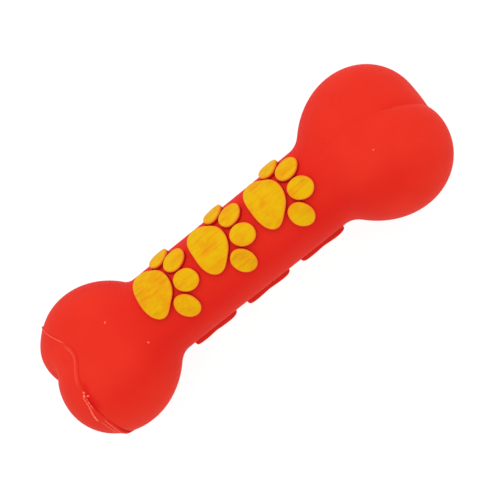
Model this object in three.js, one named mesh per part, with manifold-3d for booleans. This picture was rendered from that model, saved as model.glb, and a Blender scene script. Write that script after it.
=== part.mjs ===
// Squeaky vinyl bone for dogs: a hollow red skin closed by a welded end cap, raised yellow
// paw prints on the front of the shaft and biscuits on its back, and a reed squeaker snapped
// into one end.
// Millimetres, +Z up. The bone lies along X and rests on flats under its lobes at Z = 0.
import * as THREE from "three";
import { mergeVertices } from "three/addons/utils/BufferGeometryUtils.js";
import Module from "manifold-3d";

const wasm = await Module();
wasm.setup();

// Bone form
const overallLength = 160;
const lobeRadius = 19.3;
const lobeSpacing = 16.4; // between the two lobe centres of one knuckle
const lobeHeightRatio = 0.98; // lobe height over its width
const coreRadius = 14; // ball that fills a knuckle behind its lobes
const coreSetback = 11.4; // from the lobe centres towards the shaft
const coreBlend = 20.5;
const shaftDiameter = 30.7;
const neckBlend = 2.8;
const creaseRounding = 0.3;
const restFlatDepth = 0.35; // soft wall pressed flat under each lobe

// Skin
const wall = 2.8;
const clearance = 0.3; // gap between neighbouring pieces
const seamSetback = 18.8; // from the left end to the seam, in the crease
const seamSweep = 8.8; // how much nearer the end the seam runs on the lobes
const seamSweepWidth = 9.5;
const weldWidth = 1;
const weldHeight = 0.4;

// Raised paw prints, before they are scaled to fill the straight stretch of the shaft, and
// the biscuits behind them
const reliefHeight = 2; // above the skin
const reliefRounding = 0.6;
const padLength = 13.4; // along the bone
const padWidth = 18; // round the shaft
const padLobing = 0.1; // three soft corners, as a share of the radius
const toeLength = 9.2;
const toeWidth = 7.6;
const toeGap = 0.6;
const toeCount = 4;
const pawGap = 1.2;
const pawCount = 3;
const biscuitGap = 3.2;
const biscuitWidth = 30.8; // round the shaft
const biscuitSquareness = 6;
const biscuitWaist = 0.38; // how far its sides come in, as a share of half its length
const biscuitNotch = 0.07; // the same at its ends

// Squeaker insert, from its outer face inwards
const squeakerTilt = 30; // degrees below level
const flangeDiameter = 15;
const flangeThickness = 1.4;
const faceRecess = 0.4;
const sleeveDiameter = 12;
const sleeveWall = 1.4;
const sleeveLength = 15;
const soundHoleDiameter = 3.2;
const snapRibHeight = 0.8;
const snapRibWidth = 1.3;
const shallotFoot = 1.4;
const channelWidth = 2.6;
const channelDepth = 2;
const reedWidth = 5;
const reedThickness = 0.35;
const reedTipGap = 1; // above the shallot's foot
const clampLength = 2;
const plugThickness = 1.4;
const plugSpigot = 1.2;
const airHoleDiameter = 3.6;

const redVinyl = new THREE.MeshStandardMaterial({ color: 0xe8331f, roughness: 0.5 });
const redWeld = new THREE.MeshStandardMaterial({ color: 0xec4a34, roughness: 0.55 });
const yellowPaint = new THREE.MeshStandardMaterial({ color: 0xebb414, roughness: 0.45 });
const whitePlastic = new THREE.MeshStandardMaterial({ color: 0xe9e6dc, roughness: 0.4 });
const brass = new THREE.MeshStandardMaterial({ color: 0xc9a24a, roughness: 0.3, metalness: 1 });

const shaftRadius = shaftDiameter / 2;
const lobeX = overallLength / 2 - lobeRadius;
const coreX = lobeX - coreSetback;
const beyond = overallLength; // reaches past the whole bone

function smoothMin(a, b, blend) {
  const share = THREE.MathUtils.clamp(0.5 + (b - a) / (2 * blend), 0, 1);
  return THREE.MathUtils.lerp(b, a, share) - blend * share * (1 - share);
}

// Signed distance, near enough, from the bone's surface: negative inside.
function boneField(x, y, z) {
  const along = Math.abs(x);
  const flatZ = z / lobeHeightRatio;
  const across = Math.hypot(y, creaseRounding) - lobeSpacing / 2;
  const lobe = Math.hypot(along - lobeX, across, flatZ) - lobeRadius;
  const core = Math.hypot(along - coreX, y, flatZ) - coreRadius;
  const shaft = Math.max(Math.hypot(y, z) - shaftRadius, along - lobeX);
  return smoothMin(smoothMin(lobe, core, coreBlend), shaft, neckBlend);
}

// Distance from a point inside the bone, along a direction, to where the field has a level.
function reach(origin, direction, level = 0) {
  let near = 0;
  let far = beyond;
  const point = new THREE.Vector3();
  for (let step = 0; step < 48; step += 1) {
    const middle = (near + far) / 2;
    point.copy(origin).addScaledVector(direction, middle);
    if (boneField(point.x, point.y, point.z) < level) near = middle;
    else far = middle;
  }
  return near;
}

function toSolid(geometry) {
  const bare = geometry.clone();
  bare.deleteAttribute("normal");
  bare.deleteAttribute("uv");
  const merged = mergeVertices(bare, 1e-5);
  const corners = merged.index.array;
  const triangles = [];
  for (let start = 0; start < corners.length; start += 3) {
    const triangle = corners.subarray(start, start + 3);
    if (new Set(triangle).size === 3) triangles.push(...triangle);
  }
  const vertProperties = new Float32Array(merged.getAttribute("position").array);
  const triVerts = new Uint32Array(triangles);
  return new wasm.Manifold(new wasm.Mesh({ numProp: 3, vertProperties, triVerts }));
}

function solidMesh(name, solid, material) {
  const { vertProperties, triVerts } = solid.getMesh();
  const geometry = new THREE.BufferGeometry();
  geometry.setAttribute("position", new THREE.BufferAttribute(vertProperties, 3));
  geometry.setIndex(new THREE.BufferAttribute(triVerts, 1));
  geometry.computeVertexNormals();
  const mesh = new THREE.Mesh(geometry, material);
  mesh.name = name;
  return mesh;
}

// A capsule whose points are moved along its normals until they meet a level of the field.
function boneForm(level, capSegments, roundSegments, lengthSegments) {
  const capsule = new THREE.CapsuleGeometry(1, 2 * coreX, capSegments, roundSegments, lengthSegments);
  capsule.rotateZ(-Math.PI / 2);
  const position = capsule.getAttribute("position");
  const origin = new THREE.Vector3();
  const direction = new THREE.Vector3();
  for (let index = 0; index < position.count; index += 1) {
    direction.fromBufferAttribute(position, index);
    origin.set(THREE.MathUtils.clamp(direction.x, -coreX, coreX), 0, 0);
    direction.sub(origin).normalize();
    origin.addScaledVector(direction, reach(origin, direction, level));
    position.setXYZ(index, origin.x, origin.y, origin.z);
  }
  return capsule;
}

// The squeaker has its own frame: X runs out along its axis from the line through the lobe
// centres, about which it is tilted, and its reed lies square to Y.
const squeakerPlace = new THREE.Matrix4().makeRotationY(THREE.MathUtils.degToRad(squeakerTilt));
squeakerPlace.multiply(new THREE.Matrix4().makeRotationX(Math.PI / 2)).setPosition(lobeX, 0, 0);

// Its face lies where its whole rim is sunk below the end of the knuckle.
const flangeRadius = flangeDiameter / 2;
const outward = new THREE.Vector3(1, 0, 0).transformDirection(squeakerPlace);
const rimReach = [-flangeRadius, flangeRadius].map((side) => {
  const rimPoint = new THREE.Vector3(0, side, 0).applyMatrix4(squeakerPlace);
  return reach(rimPoint, outward);
});
const faceX = Math.min(...rimReach) - faceRecess;

// A solid of revolution about the squeaker's axis, from [radius, depth] points that run
// inwards from its outer face.
function turned(points, segments) {
  const profile = points.map(([radius, depth]) => new THREE.Vector2(radius, depth));
  const geometry = new THREE.LatheGeometry(profile, segments).rotateZ(Math.PI / 2);
  return toSolid(geometry.translate(faceX, 0, 0).applyMatrix4(squeakerPlace));
}

function disc(radius, fromDepth, toDepth, segments) {
  const points = [[0, fromDepth], [radius, fromDepth], [radius, toDepth], [0, toDepth]];
  return turned(points, segments);
}

// A box in the squeaker's frame, given by its limits in depth, Y and Z.
function block([depth0, depth1], [y0, y1], [z0, z1]) {
  const box = new THREE.BoxGeometry(depth1 - depth0, y1 - y0, z1 - z0);
  box.translate(faceX - (depth0 + depth1) / 2, (y0 + y1) / 2, (z0 + z1) / 2);
  return toSolid(box.applyMatrix4(squeakerPlace));
}

const sleeveRadius = sleeveDiameter / 2;
const boreRadius = sleeveRadius - sleeveWall;
const shoulderDepth = flangeThickness + clearance;
const roundSegments = 28;

function seamX(y) {
  const sweep = (seamSweep * y * y) / (y * y + seamSweepWidth * seamSweepWidth);
  return seamSetback - overallLength / 2 - sweep;
}

// Everything on the end cap's side of the seam, moved along X by an offset.
function seamSide(offset) {
  const halfWidth = lobeSpacing / 2 + lobeRadius + wall;
  const steps = 32;
  const outline = new THREE.Shape();
  outline.moveTo(-beyond, -halfWidth);
  for (let step = 0; step <= steps; step += 1) {
    const y = THREE.MathUtils.lerp(-halfWidth, halfWidth, step / steps);
    outline.lineTo(seamX(y) + offset, y);
  }
  outline.lineTo(-beyond, halfWidth);
  const side = new THREE.ExtrudeGeometry(outline, { depth: beyond, bevelEnabled: false });
  return toSolid(side.translate(0, 0, -beyond / 2));
}

// Skin: body, end cap and the weld between them
const outerForm = toSolid(boneForm(0, 9, 40, 24));
const innerForm = toSolid(boneForm(-wall, 6, 24, 16));
const restZ = outerForm.boundingBox().min[2] + restFlatDepth;
const ground = toSolid(new THREE.BoxGeometry(2 * beyond, beyond, beyond).translate(0, 0, restZ - beyond / 2));
const seatRadius = flangeRadius + clearance;
const seatBoss = disc(seatRadius + wall, -beyond, shoulderDepth + wall, roundSegments).intersect(outerForm);
const seatRecess = disc(seatRadius, -beyond, shoulderDepth, roundSegments);
const seatHole = disc(sleeveRadius + clearance, 0, sleeveLength, roundSegments);
const shell = outerForm.subtract(innerForm).subtract(ground);
const weldBand = seamSide(weldWidth / 2).subtract(seamSide(-weldWidth / 2));
const weldForm = toSolid(boneForm(weldHeight, 9, 40, 24)).subtract(innerForm).subtract(ground);

function makeSkin() {
  const jointHalf = weldWidth / 2 + clearance;
  const body = shell.subtract(seamSide(jointHalf)).add(seatBoss).subtract(seatRecess).subtract(seatHole);
  const cap = shell.intersect(seamSide(-jointHalf));
  return [
    solidMesh("body_skin", body, redVinyl),
    solidMesh("end_cap", cap, redVinyl),
    solidMesh("seam_weld", weldForm.intersect(weldBand), redWeld),
  ];
}

// One raised cushion, bent onto the bone. Its outline is an ellipse whose radius is scaled by
// a function of the angle, turned about its centre; face is the angle of the print about X,
// and rings are shares of the outline where its top and bottom bend once more.
function cushion({ along, round, turn, length, width, outline, rings, face, segments }) {
  const height = reliefHeight - clearance;
  const inset = 1 - (2 * reliefRounding) / width;
  const points = [
    [0, 0], ...rings.map((share) => [share, 0]), [1, 0], [1, height - reliefRounding],
    [inset, height], ...rings.map((share) => [share, height]).reverse(), [0, height],
  ];
  const profile = points.map(([share, up]) => new THREE.Vector2(share, up));
  const geometry = new THREE.LatheGeometry(profile, segments);
  const position = geometry.getAttribute("position");
  const origin = new THREE.Vector3();
  const direction = new THREE.Vector3();
  for (let index = 0; index < position.count; index += 1) {
    const angle = Math.atan2(position.getX(index), position.getZ(index));
    const corner = outline(angle);
    const forward = (position.getZ(index) * corner * length) / 2;
    const aside = (position.getX(index) * corner * width) / 2;
    const x = along + forward * Math.cos(turn) - aside * Math.sin(turn);
    const arc = round + forward * Math.sin(turn) + aside * Math.cos(turn);
    const roll = face + arc / shaftRadius;
    origin.set(x, 0, 0);
    direction.set(0, Math.sin(roll), Math.cos(roll));
    const radius = reach(origin, direction) + clearance + position.getY(index);
    position.setXYZ(index, x, radius * direction.y, radius * direction.z);
  }
  return toSolid(geometry);
}

// Paw prints march along the straight stretch between the two cores and fill it.
const padReach = (padLength / 2) * (1 + padLobing);
const toeRing = padReach + toeGap + toeLength / 2;
const toeStep = 2 * Math.asin((toeWidth + toeGap) / (2 * toeRing));
const pawLength = padLength / 2 + (toeRing + toeLength / 2) * Math.cos(toeStep / 2);
const straightLength = 2 * (coreX - coreRadius);
const pawPitch = (straightLength + pawGap) / pawCount;
const pawScale = (pawPitch - pawGap) / pawLength;

function padOutline(angle) {
  return 1 + padLobing * Math.cos(3 * angle);
}

// A square with round corners, drawn in at its sides and a little at its ends
function biscuitOutline(angle) {
  const sideways = Math.cos(angle) ** 2;
  const endways = Math.sin(angle) ** 2;
  const half = biscuitSquareness / 2;
  const square = (sideways ** half + endways ** half) ** (-1 / biscuitSquareness);
  return square * (1 - biscuitWaist * sideways ** 4) * (1 - biscuitNotch * endways ** 12);
}

function makePaw(name, start) {
  const face = 0;
  const along = start + (padLength / 2) * pawScale;
  const padSize = { length: padLength * pawScale, width: padWidth * pawScale, outline: padOutline };
  const toeSize = { length: toeLength * pawScale, width: toeWidth * pawScale, outline: () => 1 };
  const pad = cushion({ along, round: 0, turn: 0, face, ...padSize, rings: [0.5], segments: 18 });
  const pieces = [solidMesh(`${name}_pad`, pad, yellowPaint)];
  for (let number = 1; number <= toeCount; number += 1) {
    const turn = toeStep * (number - (toeCount + 1) / 2);
    const ahead = along + toeRing * pawScale * Math.cos(turn);
    const round = toeRing * pawScale * Math.sin(turn);
    const toe = cushion({ along: ahead, round, turn, face, ...toeSize, rings: [], segments: 12 });
    pieces.push(solidMesh(`${name}_toe_${number}`, toe, yellowPaint));
  }
  return pieces;
}

function makeBiscuit(name, along) {
  const size = { length: pawPitch - biscuitGap, width: biscuitWidth, outline: biscuitOutline };
  const lie = { along, round: 0, turn: 0, face: Math.PI, rings: [0.25, 0.5, 0.75], segments: 32 };
  return solidMesh(name, cushion({ ...size, ...lie }), yellowPaint);
}

function makeRelief() {
  const pieces = [];
  for (let number = 1; number <= pawCount; number += 1) {
    const middle = pawPitch * (number - (pawCount + 1) / 2);
    pieces.push(...makePaw(`front_paw_${number}`, middle - (pawPitch - pawGap) / 2));
    pieces.push(makeBiscuit(`back_biscuit_${number}`, middle));
  }
  return pieces;
}

// Depths of the squeaker's inner pieces, from its outer face
const footDepth = sleeveWall + clearance;
const footTop = footDepth + shallotFoot;
const innerTop = sleeveLength - plugSpigot - clearance;
const clampDepth = innerTop - clampLength;
const innerRadius = boreRadius - clearance;
const reedY = clearance; // the shallot's flat lies at Y = 0

function makeSleeve() {
  const hole = soundHoleDiameter / 2;
  const ribDepth = shoulderDepth + wall + clearance;
  const profile = [
    [hole, 0], [flangeRadius, 0], [flangeRadius, flangeThickness],
    [sleeveRadius, flangeThickness], [sleeveRadius, ribDepth],
    [sleeveRadius + snapRibHeight, ribDepth], [sleeveRadius, ribDepth + snapRibWidth],
    [sleeveRadius, sleeveLength], [boreRadius, sleeveLength], [boreRadius, sleeveWall],
    [hole, sleeveWall], [hole, 0],
  ];
  return solidMesh("squeaker_sleeve", turned(profile, roundSegments), whitePlastic);
}

function makePlug() {
  const hole = airHoleDiameter / 2;
  const seat = sleeveLength + clearance;
  const profile = [
    [hole, seat - plugSpigot], [innerRadius, seat - plugSpigot], [innerRadius, seat], [sleeveRadius, seat],
    [sleeveRadius, seat + plugThickness], [hole, seat + plugThickness], [hole, seat - plugSpigot],
  ];
  return solidMesh("squeaker_cap", turned(profile, roundSegments), whitePlastic);
}

function makeShallot() {
  const post = disc(innerRadius, footTop, innerTop, roundSegments);
  const front = block([footTop, innerTop + clearance], [0, sleeveRadius], [-sleeveRadius, sleeveRadius]);
  const foot = disc(innerRadius, footDepth, footTop, roundSegments);
  const channelSides = [-channelWidth / 2, channelWidth / 2];
  const channel = block([0, clampDepth - clearance], [-channelDepth, clearance], channelSides);
  return solidMesh("squeaker_shallot", post.subtract(front).add(foot).subtract(channel), whitePlastic);
}

// A strip with a round free end, its flat against the shallot with a small gap.
function makeReed() {
  const half = reedWidth / 2;
  const tip = faceX - footTop - reedTipGap;
  const outline = new THREE.Shape();
  outline.moveTo(faceX - innerTop, -half);
  outline.lineTo(tip - half, -half);
  outline.absarc(tip - half, 0, half, -Math.PI / 2, Math.PI / 2);
  outline.lineTo(faceX - innerTop, half);
  const options = { depth: reedThickness, bevelEnabled: false, curveSegments: 8 };
  const strip = new THREE.ExtrudeGeometry(outline, options);
  strip.rotateX(Math.PI / 2).translate(0, reedY + reedThickness, 0).applyMatrix4(squeakerPlace);
  return solidMesh("squeaker_reed", toSolid(strip), brass);
}

function makeWedge() {
  const plug = disc(innerRadius, clampDepth, innerTop, roundSegments);
  const back = reedY + reedThickness + clearance;
  const span = [-sleeveRadius, sleeveRadius];
  const rest = block([clampDepth - clearance, innerTop + clearance], [-sleeveRadius, back], span);
  return solidMesh("squeaker_wedge", plug.subtract(rest), whitePlastic);
}

const bone = new THREE.Group();
bone.name = "squeaky_bone";
bone.add(...makeSkin(), ...makeRelief());
bone.add(makeSleeve(), makeShallot(), makeReed(), makeWedge(), makePlug());
bone.position.z = -restZ;

export default bone;
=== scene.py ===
import math

import bpy
import numpy as np
from mathutils import Matrix, Vector


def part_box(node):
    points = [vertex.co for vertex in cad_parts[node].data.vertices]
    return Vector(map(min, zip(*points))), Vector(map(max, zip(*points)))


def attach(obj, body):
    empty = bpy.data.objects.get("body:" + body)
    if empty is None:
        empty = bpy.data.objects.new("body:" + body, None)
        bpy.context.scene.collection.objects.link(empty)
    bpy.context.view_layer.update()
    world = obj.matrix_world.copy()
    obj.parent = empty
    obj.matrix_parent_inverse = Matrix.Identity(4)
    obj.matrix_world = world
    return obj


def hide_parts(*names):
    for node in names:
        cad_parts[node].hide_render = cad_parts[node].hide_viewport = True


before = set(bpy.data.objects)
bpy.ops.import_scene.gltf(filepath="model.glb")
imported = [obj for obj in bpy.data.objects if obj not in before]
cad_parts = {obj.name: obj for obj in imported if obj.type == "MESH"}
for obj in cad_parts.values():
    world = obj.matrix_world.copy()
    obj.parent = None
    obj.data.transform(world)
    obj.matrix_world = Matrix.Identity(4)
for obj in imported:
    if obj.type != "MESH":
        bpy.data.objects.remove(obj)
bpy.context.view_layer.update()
scene = bpy.context.scene
print("frame:", len(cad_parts), "solids")

# Shapes are worked out in mm about the bone's own axis, then moved up onto the floor. Angles in
# the settings are in degrees, and those round the axis start at the top, the far side above 0.
# Phases and the turn of the brush strokes are in radians.
mm = 0.001
axisHeight = (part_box("front_paw_2_pad")[1].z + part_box("back_biscuit_2")[0].z) / 2 / mm

bone = dict(
    halfLength=80.0, lobeRadius=19.3, lobeSpacing=16.4, lobeHeight=0.98, creaseBlend=0.5,
    coreRadius=14.0, coreSetback=11.4, coreBlend=20.5, shaftRadius=15.35, neckBlend=2.8, wall=2.8,
    squeakerTilt=30.0, fanRadius=25.0,
    longestRay=45.0, rayHalvings=36, stationHalvings=30, slopeStep=0.02,  # how finely the skin is found
)
# What the soft wall adds: a drawn-in crease, which fades upwards between the unequal lobes of the
# capped end, a swell on the far lobe there, and at the other end a web that pushes the crease aside
uneven = dict(
    lobeBias=0.2, crownBlend=4.5, crownStart=10.0, crownEnd=17.0,
    webRadius=15.89, webOut=2.58, webAside=-1.28, webUp=1.96, webBlend=3.0,
    creaseSink=0.8, cappedSink=1.1, creaseStart=0.0, creaseEnd=6.0,
    nearReach=0.9, farReach=1.8, cappedReach=0.9,
    swellPlace=(-77.3, 10.0, 9.5), swellHeight=0.72, swellReach=7.0,
)
# Painted shade on the shaft, on the flanks and in the creases, and a painted highlight on the lip of one
# crease
skinShade = dict(
    toneStart=62.0, toneEnd=68.0, creaseShade=0.42, darkReach=1.5, creaseHighlight=0.12, paleReach=1.6,
    shaftShade=0.4, shaftStart=36.0, shaftEnd=57.0,
    flankShade=0.4, flankAngle=60.0, flankWidth=18.0, flankStart=56.0, flankEnd=74.0,
)
lobeX = bone["halfLength"] - bone["lobeRadius"]
coreX = lobeX - bone["coreSetback"]
poleStation = coreX + bone["fanRadius"] * math.pi / 2


def softMin(first, second, blend):
    # the smaller of two fields, the corner between them rounded over the blend's width
    share = np.clip(0.5 + (second - first) / (2 * blend), 0, 1)
    return second + (first - second) * share - blend * share * (1 - share)


def between(value, start, end):
    # 0 before the start and 1 past the end, with a soft rise
    share = np.clip((value - start) / (end - start), 0, 1)
    return share * share * (3 - 2 * share)


def bell(distance, width):
    # 1 at the middle, falling away on both sides
    return np.exp(-((distance / width) ** 2))


def ball(points, centreX, centreY, centreZ, radius):
    # distance from a ball at both ends alike, a little flattened
    x, y, z = np.moveaxis(points, -1, 0)
    up = z / bone["lobeHeight"] - centreZ
    return np.sqrt((np.abs(x) - centreX) ** 2 + (y - centreY) ** 2 + up**2) - radius


def lobeFields(points):
    # distance from the near lobe, and from the far one with the web that it has at the squeaker's end
    capped = points[..., 0] < 0
    bias = np.where(capped, uneven["lobeBias"], 0)
    aside = bone["lobeSpacing"] / 2
    near = ball(points, lobeX, -aside, 0, bone["lobeRadius"] + bias)
    far = ball(points, lobeX, aside, 0, bone["lobeRadius"] - bias)
    webX = lobeX + uneven["webOut"]
    web = ball(points, webX, uneven["webAside"], uneven["webUp"], uneven["webRadius"])
    return near, np.where(capped, far, softMin(far, web, uneven["webBlend"]))


def crownShare(points):
    # 1 over the top of the capped end, where its crease has faded out
    x, _, z = np.moveaxis(points, -1, 0)
    return np.where(x < 0, between(z, uneven["crownStart"], uneven["crownEnd"]), 0)


def boneField(points):
    # distance from a pair of lobes and a core ball at each end, run into a round shaft; below 0 inside
    x, y, z = np.moveaxis(points, -1, 0)
    near, far = lobeFields(points)
    crown = crownShare(points)
    drawn = np.where(x < 0, uneven["cappedSink"], uneven["creaseSink"]) * (1 - crown)
    drawn = drawn * between(z, uneven["creaseStart"], uneven["creaseEnd"])
    farReach = np.where(x < 0, uneven["cappedReach"], uneven["farReach"])
    reach = np.where(near < far, uneven["nearReach"], farReach)
    lobes = softMin(near, far, bone["creaseBlend"] + uneven["crownBlend"] * crown)
    lobes = lobes + drawn * np.exp(-np.abs(near - far) / reach)
    core = ball(points, coreX, 0, 0, bone["coreRadius"])
    shaft = np.maximum(np.hypot(y, z) - bone["shaftRadius"], np.abs(x) - lobeX)
    return softMin(softMin(lobes, core, bone["coreBlend"]), shaft, bone["neckBlend"])


def skinShading(points):
    # painted shade along the shaft, on the flanks and in the creases, and a painted highlight on the
    # upper lip of the squeaker end's crease
    x, y, z = np.moveaxis(points, -1, 0)
    out = np.abs(x)
    shaft = skinShade["shaftShade"] * (1 - between(out, skinShade["shaftStart"], skinShade["shaftEnd"]))
    fromFlank = np.degrees(np.abs(np.arctan2(y, z))) - skinShade["flankAngle"]
    flank = skinShade["flankShade"] * bell(fromFlank, skinShade["flankWidth"])
    flank = flank * (1 - between(out, skinShade["flankStart"], skinShade["flankEnd"]))
    near, far = lobeFields(points)
    fromCrease = np.abs(near - far)
    ends = between(out, skinShade["toneStart"], skinShade["toneEnd"]) * (1 - crownShare(points))
    lip = between(z, uneven["creaseStart"], uneven["creaseEnd"]) * (x > 0) * (near < far)
    dark = skinShade["creaseShade"] * np.exp(-fromCrease / skinShade["darkReach"])
    pale = skinShade["creaseHighlight"] * np.exp(-fromCrease / skinShade["paleReach"])
    return ends * (pale * lip - dark * (1 - lip)) - np.hypot(shaft, flank)


def boneNormal(points):
    # the field's slope along each axis, from points a step to either side
    sides = np.eye(3) * bone["slopeStep"]
    slope = np.stack([boneField(points + side) - boneField(points - side) for side in sides], -1)
    return slope / np.linalg.norm(slope, axis=-1, keepdims=True)


def halved(low, high, rounds, inside):
    # a span halved again and again about the place where a test turns from true to false
    for _ in range(rounds):
        middle = (low + high) / 2
        within = inside(middle)
        low, high = np.where(within, middle, low), np.where(within, high, middle)
    return low, high


def castOut(origin, direction, level=0.0):
    # a ray from an origin inside the bone, ended where the field has the level
    def inside(reach):
        return boneField(origin + direction * reach[..., None]) < level

    start = np.zeros(direction.shape[:-1])
    reach, _ = halved(start, start + bone["longestRay"], bone["rayHalvings"], inside)
    return origin + direction * reach[..., None]


def bonePoint(station, roll, level=0.0):
    # rays square to the axis along the shaft, fanned about the core's centre past it; at the
    # squeaker's end the fan moves out to the lobes and turns down until it closes on that axis
    station, roll, level = np.broadcast_arrays(station, roll, level)
    fan = np.clip(np.abs(station) - coreX, 0, None) / bone["fanRadius"]
    turned = between(np.where(station > 0, fan, 0), 0, math.pi / 2)
    originX = np.clip(station, -coreX, coreX) + turned * (lobeX - coreX)
    out, up = np.sign(station) * np.sin(fan), np.cos(fan) * np.cos(roll)
    tilt = turned * math.radians(bone["squeakerTilt"])
    outward = out * np.cos(tilt) + up * np.sin(tilt)
    upward = up * np.cos(tilt) - out * np.sin(tilt)
    origin = np.stack([originX, 0 * roll, 0 * roll], -1)
    return castOut(origin, np.stack([outward, np.cos(fan) * np.sin(roll), upward], -1), level)


def findStation(roll, low, high, below):
    # the station between two others where a test on the skin's points turns from true to false
    def inside(station):
        return below(bonePoint(station, roll))

    span = np.full(roll.shape, low), np.full(roll.shape, high)
    low, high = halved(*span, bone["stationHalvings"], inside)
    return (low + high) / 2


def rollAngles(columns, crowding=0.0):
    # angles round the axis from the top, crowded towards the creases at the top and bottom
    even = np.arange(columns) * 2 * math.pi / columns
    return even - crowding * np.sin(2 * even) / 2


def crowdedShares(rows):
    # shares from 0 to 1, crowded at both ends
    return ((1 - np.cos(np.linspace(0, math.pi, rows))) / 2)[:, None]


def fromMiddle(angle, middle):
    # degrees from an angle round the axis, the short way
    return (np.degrees(angle) - middle + 180) % 360 - 180


def edgeDip(distance, radius):
    # how far a rounded edge falls below its face, a distance in from the side
    inward = np.clip(distance / radius, 0, 1)
    return radius * (1 - np.sqrt(np.clip(1 - (1 - inward) ** 2, 0, 1)))


def gridPiece(name, points, material, slot, replaced=None, poles=True, **attributes):
    # four-sided faces between neighbouring rows and columns; columns always close on themselves,
    # and the rows do too unless the first and last are poles
    rows, columns = points.shape[:2]
    index = np.arange(rows * columns).reshape(rows, columns)
    if poles:
        index[0], index[-1] = index[0, 0], index[-1, 0]
    else:
        index = np.vstack([index, index[:1]])
    right = np.roll(index, -1, axis=1)
    quads = np.stack([index[:-1], right[:-1], right[1:], index[1:]], -1).reshape(-1, 4)
    flat = points.reshape(-1, 3)
    corner = flat[quads]
    turn = np.cross(corner[:, 2] - corner[:, 0], corner[:, 3] - corner[:, 1])
    if (turn * corner.mean(1)).sum() < 0:
        quads = quads[:, ::-1]
    used = np.unique(quads)
    renumber = np.zeros(len(flat), int)
    renumber[used] = np.arange(len(used))
    faces = [list(dict.fromkeys(quad)) for quad in renumber[quads].tolist()]
    placed = flat[used].copy()
    placed[:, 2] = np.maximum(placed[:, 2] + axisHeight, 0)
    mesh = bpy.data.meshes.new(name)
    mesh.from_pydata((placed * mm).tolist(), [], faces)
    for label, values in attributes.items():
        carried = np.broadcast_to(values, (rows, columns)).reshape(-1)[used]
        mesh.attributes.new(label, "FLOAT", "POINT").data.foreach_set("value", carried.astype(np.float32))
    mesh.shade_smooth()
    mesh.materials.append(material)
    piece = bpy.data.objects.new(name, mesh)
    scene.collection.objects.link(piece)
    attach(piece, "toy")
    if replaced:
        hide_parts(replaced)


class Signal:
    # a node's output; arithmetic on it adds Math nodes
    def __init__(self, finish, socket):
        self.finish, self.socket = finish, socket

    def worked(self, operation, first, second):
        return self.finish.node("ShaderNodeMath", {"operation": operation}, {0: first, 1: second})

    def __add__(self, other):
        return self.worked("ADD", self, other)

    def __radd__(self, other):
        return self.worked("ADD", other, self)

    def __sub__(self, other):
        return self.worked("SUBTRACT", self, other)

    def __rsub__(self, other):
        return self.worked("SUBTRACT", other, self)

    def __mul__(self, other):
        return self.worked("MULTIPLY", self, other)

    def __rmul__(self, other):
        return self.worked("MULTIPLY", other, self)


class Finish:
    # the nodes of one material or sky, made one at a time
    def __init__(self, owner):
        self.owner = owner
        owner.use_nodes = True
        self.tree = owner.node_tree
        self.tree.nodes.clear()

    def node(self, kind, settings=None, inputs=None, output=0):
        made = self.tree.nodes.new(kind)
        for key, value in (settings or {}).items():
            setattr(made, key, value)
        for key, value in (inputs or {}).items():
            if isinstance(value, Signal):
                self.tree.links.new(value.socket, made.inputs[key])
            else:
                made.inputs[key].default_value = value
        return Signal(self, made.outputs[output]) if made.outputs else None

    def carried(self, label):
        # a value that the piece's own points carry
        return self.node("ShaderNodeAttribute", {"attribute_name": label}, None, "Fac")

    def noise(self, size, detail, rough=0.5, stretch=None):
        # soft clouds of about a size in mm, from 0 to 1
        place = self.node("ShaderNodeTexCoord", output="Object")
        if stretch:
            place = self.node("ShaderNodeMapping", None, {"Vector": place, **stretch})
        inputs = {"Vector": place, "Scale": 1 / (size * mm), "Detail": detail, "Roughness": rough}
        return self.node("ShaderNodeTexNoise", None, inputs, "Fac")

    def ramp(self, value, low, high):
        # 0 below a low value and 1 above a high one
        inputs = {"Value": value, "From Min": low, "From Max": high}
        return self.node("ShaderNodeMapRange", {"interpolation_type": "SMOOTHSTEP"}, inputs)

    def patches(self, low, high, **clouds):
        # clouds cleared below a low value and full above a high one
        return self.ramp(self.noise(**clouds), low, high)

    def mix(self, share, first, second):
        return self.node("ShaderNodeMix", {"data_type": "RGBA"}, {0: share, 6: first, 7: second}, 2)

    def bump(self, height):
        # height in mm
        return self.node("ShaderNodeBump", None, {"Strength": 1.0, "Distance": mm, "Height": height})

    def done(self, **inputs):
        named = {key.replace("_", " "): value for key, value in inputs.items()}
        shader = self.node("ShaderNodeBsdfPrincipled", None, named)
        self.node("ShaderNodeOutputMaterial", None, {"Surface": shader})
        return self.owner


def newFinish(name):
    return Finish(bpy.data.materials.new(name))


def colour(red, green, blue):
    return (red, green, blue, 1.0)


def mouldedBump(finish, surface):
    # fine moulded grain on slow dimples, in mm
    grain = finish.noise(**surface["grain"]) * surface["grainHeight"]
    return grain + finish.noise(**surface["dimple"]) * surface["dimpleHeight"]


def mouldedRough(finish, surface):
    # gloss that changes a little from place to place
    return surface["rough"] + surface["roughSpread"] * finish.noise(**surface["gloss"])


vinyl = dict(
    bright=colour(0.745, 0.031, 0.0152), deep=colour(0.70, 0.0245, 0.0126),
    # pale serves rubbed wear, pale flash and painted highlights; dark is the colour of painted shade
    pale=colour(1.0, 0.22, 0.145), dark=colour(0.65, 0.0085, 0.0075),
    cloud=dict(size=16, detail=2, low=0.36, high=0.66), cloudShare=0.6,
    mottle=dict(size=1.3, detail=3, low=0.35, high=0.7), mottleShare=0.15,
    rub=dict(size=7, detail=4, rough=0.65, low=0.66, high=0.8), rubShare=0.1,
    speck=dict(size=0.5, detail=2, low=0.4, high=0.7),
    grain=dict(size=0.45, detail=2), grainHeight=0.01, dimple=dict(size=2.6, detail=2), dimpleHeight=0.012,
    gloss=dict(size=5, detail=3), rough=0.56, roughSpread=0.1, specular=0.05, tint=colour(1.0, 0.6, 0.5),
)


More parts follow.
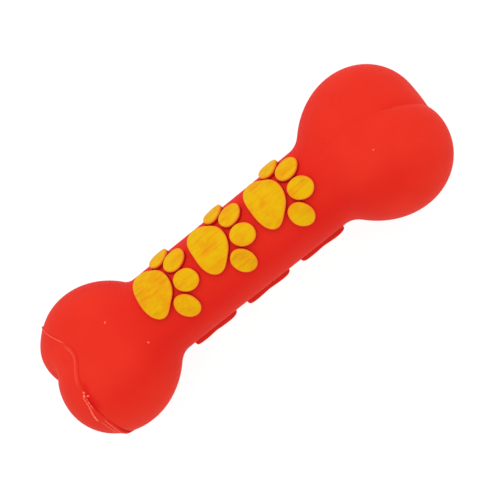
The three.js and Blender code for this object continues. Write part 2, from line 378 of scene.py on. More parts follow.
def vinylColour(finish):
    # broad uneven pigment under a faint mottle, with a few rubbed places, and the tone that a piece
    # carries: below 0 painted shade in creases, hollows and shadow lines, above 0 pale flash and painted
    # highlights
    cloud, mottle = finish.patches(**vinyl["cloud"]), finish.patches(**vinyl["mottle"])
    rubbed = finish.patches(**vinyl["rub"]) * finish.patches(**vinyl["speck"])
    tone = finish.carried("tone")
    pigment = cloud * vinyl["cloudShare"] + mottle * vinyl["mottleShare"]
    base = finish.mix(pigment, vinyl["bright"], vinyl["deep"])
    worn = finish.mix(rubbed * vinyl["rubShare"], base, vinyl["pale"])
    shaded = finish.mix(finish.ramp(0 - tone, 0, 1), worn, vinyl["dark"])
    return finish.mix(finish.ramp(tone, 0, 1), shaded, vinyl["pale"])


def redVinyl():
    finish = newFinish("red vinyl")
    return finish.done(
        Base_Color=vinylColour(finish), Roughness=mouldedRough(finish, vinyl),
        Specular_IOR_Level=vinyl["specular"], Specular_Tint=vinyl["tint"],
        Normal=finish.bump(mouldedBump(finish, vinyl)),
    )


paint = dict(
    # rim is thin paint at the edge, brightened into a painted highlight
    yellow=colour(0.725, 0.418, 0.0012), orange=colour(0.73, 0.25, 0.0025), rim=colour(0.90, 0.225, 0.020),
    # wall is painted shade on the raised pieces' red walls
    brown=colour(0.48, 0.26, 0.004), wall=colour(0.36, 0.006, 0.004), wallShadowShare=0.75,
    edge=dict(size=0.9, detail=3, rough=0.6), edgeWander=0.5,
    paintStart=-0.42, paintEnd=-0.1, rimStart=-0.05, rimEnd=0.8,
    stroke=dict(size=1.1, detail=4, rough=0.6, stretch=dict(Rotation=(0, 0, 0.15), Scale=(0.14, 1, 1))),
    strokeLow=0.48, strokeHigh=0.7, strokeShare=0.5,
    patch=dict(size=5, detail=3, rough=0.55, low=0.38, high=0.7), patchShare=0.6,
    grime=dict(size=2.6, detail=4, rough=0.65, stretch=dict(Scale=(0.4, 1, 1)), low=0.53, high=0.76),
    grimeShare=0.62, thickness=0.05, strokeHeight=0.06, rough=0.52, roughSpread=0.12, specular=0.05,
)


def yellowPaint():
    # brushed yellow on the raised tops, thin and orange at its edge where a painted highlight lies too, and
    # painted shade on the red walls below it
    finish = newFinish("yellow paint on red vinyl")
    inset = finish.carried("inset") + (finish.noise(**paint["edge"]) - 0.5) * paint["edgeWander"]
    painted = finish.ramp(inset, paint["paintStart"], paint["paintEnd"])
    within = finish.ramp(inset, paint["rimStart"], paint["rimEnd"])
    stroke = finish.noise(**paint["stroke"])
    streaks = finish.ramp(stroke, paint["strokeLow"], paint["strokeHigh"])
    thin = finish.patches(**paint["patch"]) * paint["patchShare"] + streaks * paint["strokeShare"]
    top = finish.mix(thin, paint["yellow"], paint["orange"])
    soiled = finish.mix(finish.patches(**paint["grime"]) * paint["grimeShare"], top, paint["brown"])
    edged = finish.mix(within, paint["rim"], soiled)
    bare = finish.mix(finish.carried("wall") * paint["wallShadowShare"], vinylColour(finish), paint["wall"])
    height = mouldedBump(finish, vinyl) + painted * (paint["thickness"] + paint["strokeHeight"] * stroke)
    return finish.done(
        Base_Color=finish.mix(painted, bare, edged), Roughness=paint["rough"] + paint["roughSpread"] * stroke,
        Specular_IOR_Level=paint["specular"], Normal=finish.bump(height),
    )


plastic = dict(
    light=colour(0.80, 0.78, 0.71), dull=colour(0.72, 0.70, 0.62),
    cloud=dict(size=3, detail=3, low=0.35, high=0.7),
    grain=dict(size=0.25, detail=2), grainHeight=0.006, dimple=dict(size=1.5, detail=2), dimpleHeight=0.012,
    gloss=dict(size=2, detail=3), rough=0.3, roughSpread=0.14,
)


def whitePlastic():
    finish = newFinish("white plastic")
    base = finish.mix(finish.patches(**plastic["cloud"]), plastic["light"], plastic["dull"])
    return finish.done(
        Base_Color=base, Roughness=mouldedRough(finish, plastic),
        Normal=finish.bump(mouldedBump(finish, plastic)),
    )


brass = dict(
    light=colour(0.78, 0.55, 0.20), dull=colour(0.60, 0.38, 0.12),
    rolled=dict(size=0.3, detail=3, rough=0.6, stretch=dict(Scale=(0.08, 1, 1))),
    rolledLow=0.3, rolledHigh=0.75, rolledHeight=0.01, rough=0.24, roughSpread=0.2,
)


def brassStrip():
    # fine lines of rolling along the strip
    finish = newFinish("brass strip")
    rolled = finish.noise(**brass["rolled"])
    dull = finish.ramp(rolled, brass["rolledLow"], brass["rolledHigh"])
    return finish.done(
        Base_Color=finish.mix(dull, brass["light"], brass["dull"]), Metallic=1.0,
        Roughness=brass["rough"] + brass["roughSpread"] * rolled,
        Normal=finish.bump(rolled * brass["rolledHeight"]),
    )


redFinish = redVinyl()
paintFinish = yellowPaint()
whiteFinish = whitePlastic()
brassFinish = brassStrip()
print("finishes made")

seam = dict(
    setback=19.06, apex=-2.4, farSweep=15.5, farWidth=15.5, nearSweep=6.5, nearWidth=7.2,
    bow=0.55, bowMiddle=-73.0, bowWidth=12.0, gap=0.12, edgeRadius=0.28, groove=0.1,
    lip=0.05, lipReach=1.5, dip=0.03, dipReach=0.9, toneReach=0.5,
)
# What the seam looks like on each stretch of its way round
hairline = dict(middle=30.0, half=12.0, soft=15.0, height=0.06, pale=0.55, shade=0.4, capShade=0.3)
# The ledge's pale is a painted highlight on its ridge, and its shade a painted shadow line
ledge = dict(
    middle=-12.0, half=14.0, soft=13.0, height=0.26, out=0.8, width=0.48, pale=0.28, dip=0.07, shade=0.3,
)
torn = dict(
    middle=-51.5, half=11.0, soft=3.0, start=46.0, end=64.0, lip=0.1, dip=0.08,
    shade=0.9, shadeFade=0.8, beadShade=0.7, beadFade=0.75,
)
# A broad painted shadow beside the head of the torn stretch
tornShadow = dict(middle=-43.0, half=7.0, soft=9.0, out=0.9, width=1.2, dark=0.65)
stepped = dict(
    middle=-92.0, half=24.0, soft=6.0, groove=0.1, shade=0.3,
    lip=0.55, lipStart=66.0, lipEnd=90.0, lipFade=94.0, lipGone=105.0,
    # the bands' tones paint highlights above 0 and shade below 0
    bands=((0.58, 0.2, 0.62), (1.1, 0.2, -0.6), (1.75, 0.28, 0.46)),  # out, width and tone
    bandRise=0.12, bandFade=96.0, bandGone=124.0,
)
underside = dict(middle=155.0, half=75.0, soft=25.0, lip=0.2, groove=0.3, shade=0.2)


def seamX(point):
    # how far out the seam lies: furthest in beside the crease, sweeping towards the end on the lobes,
    # more so on the far one, with a slow bow on the near side
    _, y, z = np.moveaxis(point, -1, 0)
    aside = y - seam["apex"]
    sweep = np.where(aside > 0, seam["farSweep"], seam["nearSweep"])
    width = np.where(aside > 0, seam["farWidth"], seam["nearWidth"])
    bow = seam["bow"] * bell(fromMiddle(np.arctan2(y, z), seam["bowMiddle"]), seam["bowWidth"])
    return seam["setback"] - bone["halfLength"] - sweep * aside**2 / (aside**2 + width**2) + bow


def seamStation(roll):
    # the station where the skin passes the seam
    return findStation(roll, -poleStation, -coreX, lambda point: point[..., 0] < seamX(point))


def onStretch(roll, stretch):
    # 1 on a stretch of the seam, falling to 0 over its soft ends
    away = np.abs(fromMiddle(roll, stretch["middle"]))
    return 1 - between(away, stretch["half"], stretch["half"] + stretch["soft"])


def summed(roll, key, *stretches):
    # one setting of several stretches, each on its own stretch alone
    return sum(stretch[key] * onStretch(roll, stretch) for stretch in stretches)


def nearSide(roll, start, end):
    # 0 above a start angle on the near side and 1 below an end angle
    return between(-fromMiddle(roll, 0), start, end)


def tornShare(roll):
    # how far down the torn stretch
    return nearSide(roll, torn["start"], torn["end"])


def capLip(roll):
    # how far the cap stands proud of the body at the joint
    opened = nearSide(roll, stepped["lipStart"], stepped["lipEnd"])
    opened = opened - nearSide(roll, stepped["lipFade"], stepped["lipGone"])
    return seam["lip"] + summed(roll, "lip", stepped) * opened + summed(roll, "lip", torn, underside)


def seamGroove(roll):
    # how much of its rounding the joint's edges have
    return seam["groove"] + summed(roll, "groove", stepped, underside)


def stepBands(roll, fromEdge):
    # fine bands beside the step, fading out below it: they raise the cap a little and carry painted
    # highlights and painted shade
    share = onStretch(roll, stepped) * (1 - nearSide(roll, stepped["bandFade"], stepped["bandGone"]))
    return share * sum(tone * bell(fromEdge - out, width) for out, width, tone in stepped["bands"])


def ledgeRidge(roll, fromEdge):
    # a soft ridge a little way in from the joint
    return onStretch(roll, ledge) * bell(fromEdge - ledge["out"], ledge["width"])


def bodyTone(roll, fromSeam):
    # painted shadow lines along the joint, and a broad painted shadow at the head of the torn stretch
    line = summed(roll, "shade", hairline, stepped, ledge)
    line = line + summed(roll, "shade", torn) * (1 - torn["shadeFade"] * tornShare(roll))
    broad = summed(roll, "dark", tornShadow) * bell(fromSeam - tornShadow["out"], tornShadow["width"])
    return -line * bell(fromSeam, seam["toneReach"]) - broad


def capTone(roll, fromEdge):
    # a painted highlight along the ledge, painted shade under the hairline, and bands of painted highlight
    # and shade along the step
    shade = summed(roll, "capShade", hairline) * bell(fromEdge, seam["toneReach"])
    return ledge["pale"] * ledgeRidge(roll, fromEdge) - shade + stepBands(roll, fromEdge)


def capSwell(point):
    # a place on the far lobe that stands out a little
    away = point - np.array(uneven["swellPlace"])
    return uneven["swellHeight"] * np.exp(-(away**2).sum(-1) / uneven["swellReach"] ** 2)


ripple = dict(waves=((0.05, 3, 0.7), (0.03, 5, -1.1)), length=11.0, fade=12.0)  # height, order and phase


def wallRipple(roll, station, fromSeam, fromRim):
    # slow waves round the soft wall and along it, dying out towards both edges
    height = sum(size * np.sin(order * roll + phase) for size, order, phase in ripple["waves"])
    calm = between(fromSeam, 0, ripple["fade"]) * between(fromRim, 0, ripple["fade"])
    return height * calm * np.sin(station / ripple["length"])


skin = dict(columns=264, crowding=0.55, outerRows=240, innerRows=60, wallRows=8)
squeaker = dict(
    seatRadius=7.8, seatDepth=1.7, rimRadius=0.55, holeRadius=6.3, bevelWidth=0.3, bevelDepth=0.2,
    bossRadius=10.6, bossDepth=4.5, faceRecess=0.4, flangeRadius=7.5, flangeThickness=1.4,
    sleeveRadius=6.0, boreRadius=4.6, sleeveLength=15.0, endWall=1.4, soundHole=1.6,
    ribDepth=4.8, ribHeight=0.8, ribWidth=1.3,
    plugSeat=15.3, plugSpigot=1.2, plugRadius=4.3, plugThickness=1.4, airHole=1.8,
    corner=0.25, cornerShare=0.45, cornerSteps=5, columns=96,
)

# The squeaker's own axes: out along its tilted axis from between the lobe centres, aside and up
squeakerTilt = math.radians(bone["squeakerTilt"])
squeakerOut = np.array([math.cos(squeakerTilt), 0, -math.sin(squeakerTilt)])
squeakerAside = np.array([0, 1, 0])
squeakerUp = np.array([math.sin(squeakerTilt), 0, math.cos(squeakerTilt)])
squeakerFoot = np.array([lobeX, 0, 0])
# Its face lies a little below the lower of two points of the skin at the flange's edge
rimFeet = squeakerFoot + np.outer([-squeaker["flangeRadius"], squeaker["flangeRadius"]], squeakerUp)
rimReach = (castOut(rimFeet, np.stack([squeakerOut, squeakerOut])) - squeakerFoot) @ squeakerOut
faceReach = rimReach.min() - squeaker["faceRecess"]


def fromSqueakerAxis(points):
    # distance from the squeaker's axis, and angle about it from its upper side
    aside, up = points[..., 1], (points - squeakerFoot) @ squeakerUp
    return np.hypot(aside, up), np.arctan2(aside, up)


def ringStation(roll, radius):
    # the station where the skin comes within a radius of the squeaker's axis
    return findStation(roll, coreX, poleStation, lambda point: fromSqueakerAxis(point)[0] > radius)


def turnedRows(angle, radius, depth):
    # rings about the squeaker's axis, at radii and depths from its face
    radius, depth, angle = np.broadcast_arrays(radius, depth, angle)
    out = (faceReach - depth)[..., None] * squeakerOut
    up = (radius * np.cos(angle))[..., None] * squeakerUp
    return squeakerFoot + out + up + (radius * np.sin(angle))[..., None] * squeakerAside


def squeakerSeat(rim):
    # rings from the skin's rim down the seat's wall, over its floor, and through the hole to the boss
    angle = fromSqueakerAxis(rim)[1]
    rimDepth = faceReach - (rim - squeakerFoot) @ squeakerOut
    floor, bossEnd, hole = squeaker["seatDepth"], squeaker["bossDepth"], squeaker["holeRadius"]
    wallDepth = rimDepth + (floor - rimDepth) * np.linspace(0, 1, skin["wallRows"])[1:, None]
    radii = [hole + squeaker["bevelWidth"], hole, hole, hole, squeaker["bossRadius"]]
    depths = [floor, floor + squeaker["bevelDepth"], (floor + bossEnd) / 2, bossEnd, bossEnd]
    wall = turnedRows(angle, squeaker["seatRadius"], wallDepth)
    return np.concatenate([wall, turnedRows(angle, np.array(radii)[:, None], np.array(depths)[:, None])])


def bodySkin():
    # outer skin from the seam to the squeaker's rim, down the seat and its boss, and back inside
    roll = rollAngles(skin["columns"], skin["crowding"])
    start = seamStation(roll) + seam["gap"]
    end = ringStation(roll, squeaker["seatRadius"])
    station = start + (end - start) * crowdedShares(skin["outerRows"])
    fromSeam, fromRim = station - start, end - station
    dip = seam["dip"] + summed(roll, "dip", ledge, torn)
    level = wallRipple(roll, station, fromSeam, fromRim) - dip * np.exp(-fromSeam / seam["dipReach"])
    level = level - edgeDip(fromRim, squeaker["rimRadius"])
    level = level - edgeDip(fromSeam, seam["edgeRadius"]) * seamGroove(roll)
    outer = bonePoint(station, roll, level)
    innerEnd = ringStation(roll, squeaker["bossRadius"])
    innerStation = innerEnd + (start - innerEnd) * np.linspace(0, 1, skin["innerRows"])[:, None]
    inner = bonePoint(innerStation, roll, -bone["wall"])
    points = np.concatenate([outer, squeakerSeat(outer[-1]), inner])
    tone = np.zeros(points.shape[:2])
    tone[: len(outer)] = skinShading(outer) + bodyTone(roll, fromSeam)
    gridPiece("bone_skin", points, redFinish, "red_vinyl", "body_skin", poles=False, tone=tone)


def endCap():
    # from the outer pole in the notch to the seam, over its edge and back to the inner pole
    roll = rollAngles(skin["columns"], skin["crowding"])
    edge = seamStation(roll) - seam["gap"]
    toPole = -poleStation - edge
    station = edge + toPole * crowdedShares(skin["outerRows"] // 2)[::-1]
    fromEdge = edge - station
    level = capLip(roll) * bell(fromEdge, seam["lipReach"]) + ledge["height"] * ledgeRidge(roll, fromEdge)
    level = level + stepped["bandRise"] * stepBands(roll, fromEdge) + capSwell(bonePoint(station, roll))
    outer = bonePoint(station, roll, level - edgeDip(fromEdge, seam["edgeRadius"]) * seamGroove(roll))
    innerStation = edge + toPole * np.linspace(0, 1, skin["innerRows"] // 2)[:, None]
    points = np.concatenate([outer, bonePoint(innerStation, roll, -bone["wall"])])
    tone = np.zeros(points.shape[:2])
    tone[: len(outer)] = skinShading(outer) + capTone(roll, fromEdge)
    gridPiece("end_cap_skin", points, redFinish, "red_vinyl", "end_cap", tone=tone)


jag = dict(lowest=(90, 0, 0), highest=(420, 6.3, 1))  # a wave's order, its phase and a spare draw


def jagged(roll, seed, count):
    # uneven teeth round the seam: a few sine waves of high order with seeded phases, added up
    draws = np.random.default_rng(seed).uniform(jag["lowest"], jag["highest"], (count, 3))
    order, phase = np.round(draws[:, :1]), draws[:, 1:2]
    return np.sin(order * roll + phase).sum(0) / math.sqrt(count)


# Waves give a seed and a count
bead = dict(
    columns=1080, sides=14, width=0.24, height=0.07, seat=0.45, sink=0.4, sinkShare=2.0, trackStep=0.3,
    spurMiddle=56.0, spurWidth=4.0, spurHeight=0.4, rough=0.02, roughWaves=(8, 5),
    # the welt's tone is painted shade along the step's joint
    weltHeight=0.02, weltWidth=0.06, weltOut=0.05, weltShade=-0.5, hairBroken=0.3, hairWaves=(7, 5),
)
flash = dict(
    start=-65.5, end=-37.5, headStart=37.5, headEnd=42.0, rows=420, sides=14,
    width=0.19, thinnest=0.06, ragged=0.08, raggedWaves=(5, 6), height=0.21, swell=0.2,
    teeth=0.16, teethWaves=(4, 9), out=0.88, drawn=1.25, wander=0.06, wanderWaves=(6, 5),
    pale=0.55, paler=0.4, teethPale=0.35,
)
film = dict(
    start=-67.0, end=-40.0, tear=0.44, tearSoft=0.12, rows=260, sides=10,
    width=0.26, ragged=0.3, raggedWaves=(11, 7), flat=0.04, height=0.06, teeth=0.16, rise=0.02,
    offset=-0.55, spread=1.17, wander=0.08, wanderWaves=(12, 4), pale=0.4, teethPale=0.45,
)


def seamOval(roll, offset, width, height, rise, sides):
    # an oval carried along the seam, standing on the skin's normal and sunk a little into it
    def track(angle):
        return bonePoint(seamStation(angle) + offset, angle, rise)

    centre, turn = track(roll), math.radians(bead["trackStep"])
    forward = track(roll + turn) - track(roll - turn)
    normal = boneNormal(centre)
    across = np.cross(normal, forward / np.linalg.norm(forward, axis=-1, keepdims=True))
    angle = (np.arange(sides) * 2 * math.pi / sides)[:, None, None]
    width, height = np.reshape(width, (1, -1, 1)), np.reshape(height, (1, -1, 1))
    depth = np.minimum(bead["sink"], width * bead["sinkShare"])
    lift = np.sin(angle) * np.where(np.sin(angle) > 0, height, depth)
    return centre + across * np.cos(angle) * width + normal * lift


def seamBead():
    # a hair of weld all round: pale on the far lobe, with a spur on the outline, painted shade beside
    # the torn flash, and a low welt with painted shade along the step
    roll = rollAngles(bead["columns"])
    line, welt = onStretch(roll, hairline), onStretch(roll, stepped)
    spur = bell(fromMiddle(roll, bead["spurMiddle"]), bead["spurWidth"])
    height = bead["height"] + hairline["height"] * line + bead["spurHeight"] * spur
    height = height + bead["weltHeight"] * welt + bead["rough"] * jagged(roll, *bead["roughWaves"])
    width = bead["width"] + bead["weltWidth"] * welt
    rise = capLip(roll) * bead["seat"]
    points = seamOval(roll, -bead["weltOut"] * welt, width, height, rise, bead["sides"])
    broken = 1 + bead["hairBroken"] * (jagged(roll, *bead["hairWaves"]) - 1)
    tone = hairline["pale"] * line * broken + bead["weltShade"] * welt - summed(roll, "shade", underside)
    tone = tone - summed(roll, "beadShade", torn) * (1 - torn["beadFade"] * tornShare(roll))
    gridPiece("seam_bead", points, redFinish, "red_vinyl", "seam_weld", poles=False, tone=tone)


def seamStrip(name, roll, offset, width, height, rise, sides, tone):
    # flash lying beside the joint, its ends drawn to points
    points = seamOval(roll, offset, width, height, rise, sides)
    gridPiece(name, np.swapaxes(points, 0, 1), redFinish, "red_vinyl", tone=tone[:, None])


def tornFlash():
    # a ragged edge that leaves the joint at its head and is drawn further onto the cap on its way down
    roll = np.radians(np.linspace(flash["start"], flash["end"], flash["rows"]))
    taper, down = onStretch(roll, torn), tornShare(roll)
    teeth = np.clip(jagged(roll, *flash["teethWaves"]), 0, None)
    head = nearSide(roll, flash["headStart"], flash["headEnd"])
    wander = flash["wander"] * jagged(roll, *flash["wanderWaves"])
    offset = wander - head * (flash["out"] + flash["drawn"] * down)
    width = flash["width"] + flash["ragged"] * jagged(roll, *flash["raggedWaves"])
    width = taper * np.clip(width, flash["thinnest"], None)
    height = taper * (flash["height"] + flash["swell"] * down + flash["teeth"] * teeth)
    tone = taper * (flash["pale"] + flash["paler"] * down + flash["teethPale"] * teeth)
    rise = capLip(roll) * bead["seat"]
    seamStrip("torn_flash", roll, offset, width, height, rise, flash["sides"], tone)


def seamFilm():
    # a second ragged edge between the joint and the torn one, smooth below its tear
    share = np.linspace(0, 1, film["rows"])
    roll = np.radians(film["start"] + (film["end"] - film["start"]) * share)
    taper = np.sqrt(np.clip(np.sin(math.pi * share), 0, 1))
    ragged = np.clip(0.5 + 0.5 * jagged(roll, *film["raggedWaves"]), 0, None)
    upper = between(share, film["tear"], film["tear"] + film["tearSoft"])
    wander = film["wander"] * upper * jagged(roll, *film["wanderWaves"])
    offset = film["offset"] * (film["spread"] - share) + wander
    width = taper * film["width"] * (1 - film["ragged"] * (1 - np.clip(ragged, 0, 1)))
    height = taper * (film["flat"] + upper * (film["height"] + film["teeth"] * ragged))
    tone = upper * (film["pale"] + film["teethPale"] * ragged)
    seamStrip("seam_film", roll, offset, width, height, film["rise"], film["sides"], tone)


# The domes' tone is a painted highlight on the vent nibs and pale flash on the chips
nib = dict(radius=0.62, height=0.42, sink=0.1, oval=0.2, tone=0.8, rows=11, columns=24)
nibPlaces = ((-47.2, 0.5, 1.0), (-40.0, -11.8, 1.0), (55.9, -12.0, 0.8))  # along, across and size, on top
chipPlaces = (  # angle round the axis, distance from the seam and size
    (-38.4, 0.0, 1.1), (-41.0, -0.35, 1.4), (-42.4, 0.7, 1.05), (14.8, 0.0, 0.6),
)


def dome(name, foot, size, lean):
    # a raised cosine about a point of the skin, a little oval, paler up its sides: a painted highlight on the
    # vent nibs, pale flash on the chips
    angle = rollAngles(nib["columns"])
    share = np.linspace(0, 1, nib["rows"])[:, None]
    height = nib["height"] * min(size, 1)
    rise = height * (1 + np.cos(math.pi * share)) / 2 - nib["sink"] * share
    rise = np.concatenate([rise, [[-nib["sink"]]]])
    spread = nib["radius"] * size * np.concatenate([share, [[0]]])
    spread = spread * (1 + nib["oval"] * np.cos(2 * (angle - lean)))
    normal = boneNormal(foot)
    aside = np.cross(normal, [1.0, 0, 0])
    aside /= np.linalg.norm(aside)
    forward = np.cross(aside, normal)
    flat = (spread * np.cos(angle))[..., None] * forward + (spread * np.sin(angle))[..., None] * aside
    points = foot + flat + (rise + 0 * angle)[..., None] * normal
    tone = nib["tone"] * min(size, 1) * between(rise, 0, height / 2)
    gridPiece(name, points, redFinish, "red_vinyl", tone=tone)


def ventNibs():
    # what the mould's air vents leave
    for number, (forward, aside, size) in enumerate(nibPlaces, 1):
        foot = castOut(np.array([forward, aside, 0]), np.array([0, 0, 1.0]))
        dome(f"vent_nib_{number}", foot, size, number)


def flashChips():
    # crumbs at the head of the torn stretch, and one on the hairline
    for number, (angle, offset, size) in enumerate(chipPlaces, 1):
        roll = np.radians(np.array(angle))
        foot = bonePoint(seamStation(roll) + offset, roll)
        dome(f"flash_chip_{number}", foot, size, 2 * number)


bodySkin()
endCap()
seamBead()
tornFlash()
seamFilm()
print("skin made")

ventNibs()
flashChips()
print("nibs and chips made")

relief = dict(
    height=2.0, crown=0.14, crownPower=0.6, edgeRadius=0.5, draft=0.14, foot=0.3, footSink=0.02, sunk=0.15,
    crownRows=14, edgeRows=9, wallShares=(0.66, 0.33, 0.0), footRows=6,
    wobble=((0.008, 2, 1.0), (0.006, 5, 2.3)),  # share of the radius, order round it, share of the seed
    waveHeight=0.03, waveAlong=0.9, waveRound=11.0, waveFrom=1.0,
    paintFrom=1.4, shadeFoot=0.2, shadeLow=0.8, shadeTop=1.4,
)
paw = dict(
    count=3, straight=70.6, gap=1.2, padLength=13.4, padWidth=18.0, padLobes=3, padLobing=0.1, padSeed=1.7,
    toes=4, toeLength=9.2, toeWidth=7.6, toeGap=0.6, toeSeed=1.3,
    face=0.0, columns=96, bareEdge=0.0, wallShade=1.0,
)
biscuit = dict(
    gap=3.2, width=30.8, squareness=6, waist=0.38, waistPower=4, notch=0.07, notchPower=12, seed=2.1,
    face=180.0, columns=144, bareEdge=1.0, wallShade=0.2,
)


def padCorner(angle):
    # a circle with soft lobes, one of them towards the toes
    return 1 + paw["padLobing"] * np.cos(paw["padLobes"] * angle)


def biscuitCorner(angle):
    # a square with round corners, drawn in at its sides and a little at its ends
    sideways, endways = np.cos(angle) ** 2, np.sin(angle) ** 2
    power = biscuit["squareness"]
    square = (sideways ** (power / 2) + endways ** (power / 2)) ** (-1 / power)
    waist = 1 - biscuit["waist"] * sideways ** biscuit["waistPower"]
    return square * waist * (1 - biscuit["notch"] * endways ** biscuit["notchPower"])


def cushionProfile(reach):
    # inward distance and height from the crown's middle over a rounded edge, down a drafted wall to a
    # flared foot, then back under it
    edge, draft, foot, crown = (relief[key] for key in ("edgeRadius", "draft", "foot", "crown"))
    shoulder = relief["height"] - crown
    across = np.linspace(1, 0, relief["crownRows"])
    turn = np.linspace(0, math.pi / 2, relief["edgeRows"])[1:]
    climb = np.array(relief["wallShares"])
    flare = np.linspace(0, math.pi / 2, relief["footRows"])[1:]
    inward = [
        edge + draft + (reach - edge - draft) * across, draft + edge * (1 - np.sin(turn)), draft * climb,
        -foot * (1 - np.cos(flare)), [-foot, reach / 2, reach],
    ]
    height = [
        relief["height"] + crown * (across ** relief["crownPower"] - 1), shoulder - edge * (1 - np.cos(turn)),
        foot + (shoulder - edge - foot) * climb, foot * (1 - np.sin(flare)) - relief["footSink"],
        [-relief["sunk"]] * 3,
    ]
    return np.concatenate(inward), np.concatenate(height)


def cushion(node, row, corner, length, width, seed, middle, arc=0.0, turn=0.0):
    # an oval whose radius is scaled by a corner function, a little uneven, laid along and round
    # the shaft and raised on it
    angle = rollAngles(row["columns"])
    waves = [share * np.sin(order * angle + part * seed) for share, order, part in relief["wobble"]]
    radius = corner(angle) * (1 + sum(waves))
    forward, aside = np.cos(angle) * length / 2 * radius, np.sin(angle) * width / 2 * radius
    inward, up = cushionProfile(min(length, width) / 2)
    share = np.clip(1 - inward[:, None] / np.hypot(forward, aside), 0, None)
    share[0], share[-1] = 0, 0
    x = middle + (forward * math.cos(turn) - aside * math.sin(turn)) * share
    turned = arc + (forward * math.sin(turn) + aside * math.cos(turn)) * share
    roll = math.radians(row["face"]) + turned / bone["shaftRadius"]
    wave = np.sin(x * relief["waveAlong"] + seed) * np.sin(roll * relief["waveRound"] + seed)
    lift = up[:, None] + relief["waveHeight"] * wave * (up[:, None] > relief["waveFrom"])
    points = bonePoint(x, roll) + lift[..., None] * np.stack([0 * roll, np.sin(roll), np.cos(roll)], -1)
    onTop = up > relief["height"] - relief["crown"] - relief["edgeRadius"]
    inset = np.where(onTop, inward - relief["draft"] / 2, up - relief["paintFrom"]) - row["bareEdge"]
    # the walls carry painted shade, and the bare vinyl the shaft's painted shade
    wall = between(up, 0, relief["shadeFoot"]) * (1 - between(up, relief["shadeLow"], relief["shadeTop"]))
    gridPiece(
        f"{node}_raised", points, paintFinish, "yellow_paint", node,
        inset=inset[:, None], wall=row["wallShade"] * wall[:, None], tone=-skinShade["shaftShade"],
    )


def raisedRows():
    # toes on a ring about each pad, scaled so that the prints fill the straight of the shaft, and a
    # biscuit behind each print
    reach = paw["padLength"] / 2 * (1 + paw["padLobing"])
    ring = reach + paw["toeGap"] + paw["toeLength"] / 2
    toeTurn = 2 * math.asin((paw["toeWidth"] + paw["toeGap"]) / (2 * ring))
    length = paw["padLength"] / 2 + (ring + paw["toeLength"] / 2) * math.cos(toeTurn / 2)
    pitch = (paw["straight"] + paw["gap"]) / paw["count"]
    scale = (pitch - paw["gap"]) / length
    pad = (padCorner, paw["padLength"] * scale, paw["padWidth"] * scale)
    oval = (np.ones_like, paw["toeLength"] * scale, paw["toeWidth"] * scale)
    back = (biscuitCorner, pitch - biscuit["gap"], biscuit["width"])
    for number in range(1, paw["count"] + 1):
        middle = pitch * (number - (paw["count"] + 1) / 2)
        padX = middle - (pitch - paw["gap"]) / 2 + paw["padLength"] / 2 * scale
        cushion(f"front_paw_{number}_pad", paw, *pad, number * paw["padSeed"], padX)
        for toe in range(1, paw["toes"] + 1):
            turn = toeTurn * (toe - (paw["toes"] + 1) / 2)
            place = (padX + ring * scale * math.cos(turn), ring * scale * math.sin(turn), turn)
            cushion(f"front_paw_{number}_toe_{toe}", paw, *oval, number + toe * paw["toeSeed"], *place)
        cushion(f"back_biscuit_{number}", biscuit, *back, number * biscuit["seed"], middle)


raisedRows()
print("paw prints made")


def roundedLoop(corners):
    # a closed outline whose corners are replaced by short parabolas
    corner = np.array(corners, float)
    before, after = np.roll(corner, 1, axis=0) - corner, np.roll(corner, -1, axis=0) - corner
    sizes = [np.linalg.norm(side, axis=1, keepdims=True) for side in (before, after)]
    cut = np.minimum(squeaker["corner"], np.minimum(*sizes) * squeaker["cornerShare"])
    first, last = corner + before / sizes[0] * cut, corner + after / sizes[1] * cut
    t = np.linspace(0, 1, squeaker["cornerSteps"])[None, :, None]
    curve = first[:, None] * (1 - t) ** 2 + corner[:, None] * 2 * t * (1 - t) + last[:, None] * t**2
    return curve.reshape(-1, 2)


def turning(name, node, corners):
    # an outline of radius and depth turned about the squeaker's axis
    radius, depth = roundedLoop(corners).T[:, :, None]
    points = turnedRows(rollAngles(squeaker["columns"]), radius, depth)
    gridPiece(name, points, whiteFinish, "white_plastic", node, poles=False)


def squeakerTurnings():
    # a flanged sleeve with a snap rib, and the plug that closes its inner end
    flange, thick = squeaker["flangeRadius"], squeaker["flangeThickness"]
    outer, bore, length = squeaker["sleeveRadius"], squeaker["boreRadius"], squeaker["sleeveLength"]
    wall, hole, rib = squeaker["endWall"], squeaker["soundHole"], squeaker["ribDepth"]
    ribTop, ribEnd = outer + squeaker["ribHeight"], rib + squeaker["ribWidth"]
    outside = [(hole, 0), (flange, 0), (flange, thick), (outer, thick), (outer, rib), (ribTop, rib)]
    inside = [(outer, ribEnd), (outer, length), (bore, length), (bore, wall), (hole, wall)]
    turning("squeaker_housing", "squeaker_sleeve", outside + inside)
    seat, air, spigot = squeaker["plugSeat"], squeaker["airHole"], squeaker["plugRadius"]
    low, high = seat - squeaker["plugSpigot"], seat + squeaker["plugThickness"]
    plug = [(air, low), (spigot, low), (spigot, seat), (outer, seat), (outer, high), (air, high)]
    turning("squeaker_plug", "squeaker_cap", plug)


squeakerTurnings()
for node, finish in (
    ("squeaker_shallot", whiteFinish), ("squeaker_wedge", whiteFinish), ("squeaker_reed", brassFinish),
):
    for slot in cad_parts[node].material_slots:
        slot.material = finish
print("squeaker made")

# Lengths in metres
studio = dict(
    floorSize=6.0, floorShade=0.12, floorRough=0.9, floorGlow=0.93, white=colour(1, 1, 1), sky=1.0,
    lampPlace=(0.2, 0.2, 1.1), lampTarget=(0, 0, 0.02), lampSize=0.9, lamp=2.7,
)
# Distance, centre and sensor in mm, scale in pixels to the mm at that distance, and clip in metres
camera = dict(
    distance=282.5, roll=27.0, tilt=8.07, turn=38.668, centre=(-3.979, -0.537), scale=2.912, pixels=500,
    sensor=36.0, clip=0.01,
)


def makeSky():
    sky = Finish(bpy.data.worlds.new("studio"))
    light = sky.node("ShaderNodeBackground", None, {"Color": studio["white"], "Strength": studio["sky"]})
    sky.node("ShaderNodeOutputWorld", None, {"Surface": light})
    scene.world = sky.owner


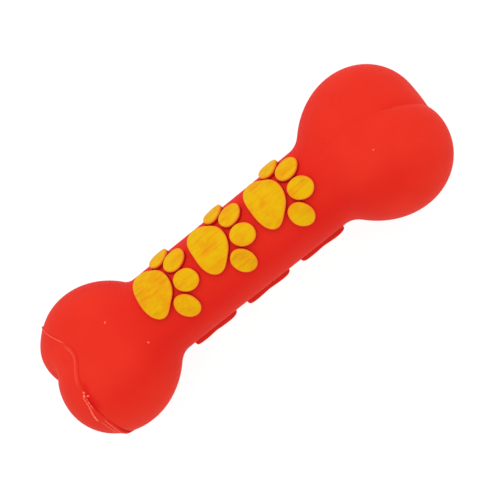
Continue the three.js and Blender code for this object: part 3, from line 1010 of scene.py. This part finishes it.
def makeFloor():
    half, shade = studio["floorSize"] / 2, studio["floorShade"]
    corners = [(-half, -half, 0), (half, -half, 0), (half, half, 0), (-half, half, 0)]
    mesh = bpy.data.meshes.new("floor")
    mesh.from_pydata(corners, [], [(0, 1, 2, 3)])
    finish = newFinish("white floor")
    material = finish.done(
        Base_Color=colour(shade, shade, shade), Roughness=studio["floorRough"], Specular_IOR_Level=0.0,
        Emission_Color=studio["white"], Emission_Strength=studio["floorGlow"],
    )
    mesh.materials.append(material)
    floor = bpy.data.objects.new("floor", mesh)
    scene.collection.objects.link(floor)


def makeLamp():
    data = bpy.data.lights.new("overhead", "AREA")
    data.shape, data.size, data.energy = "DISK", studio["lampSize"], studio["lamp"]
    lamp = bpy.data.objects.new("overhead", data)
    lamp.location = studio["lampPlace"]
    lamp.rotation_mode = "QUATERNION"
    lamp.rotation_quaternion = (lamp.location - Vector(studio["lampTarget"])).to_track_quat("Z", "Y")
    scene.collection.objects.link(lamp)


def makeCamera():
    # the bone's axes as the camera sees them, from its turn, tilt and roll in the picture
    turn, tilt, roll = (math.radians(camera[key]) for key in ("turn", "tilt", "roll"))
    right = np.array([math.cos(turn), math.sin(turn), 0])
    up = np.array([-math.sin(turn), math.cos(turn), 0])
    back = np.array([0, 0, 1.0])
    axisX = math.cos(tilt) * right + math.sin(tilt) * back
    leaning = math.cos(tilt) * back - math.sin(tilt) * right
    axisZ = math.sin(roll) * up + math.cos(roll) * leaning
    world = np.stack([axisX, np.cross(axisZ, axisX), axisZ])
    place = world @ np.array([-camera["centre"][0], -camera["centre"][1], camera["distance"]])
    place[2] += axisHeight
    data = bpy.data.cameras.new("camera")
    data.sensor_width, data.clip_start = camera["sensor"], camera["clip"]
    data.lens = camera["sensor"] * camera["scale"] * camera["distance"] / camera["pixels"]
    eye = bpy.data.objects.new("camera", data)
    eye.matrix_world = Matrix.Translation(place * mm) @ Matrix(world.tolist()).to_4x4()
    scene.collection.objects.link(eye)
    scene.camera = eye


makeSky()
scene.view_settings.view_transform = "Standard"
makeFloor()
makeLamp()
makeCamera()
print("studio made")
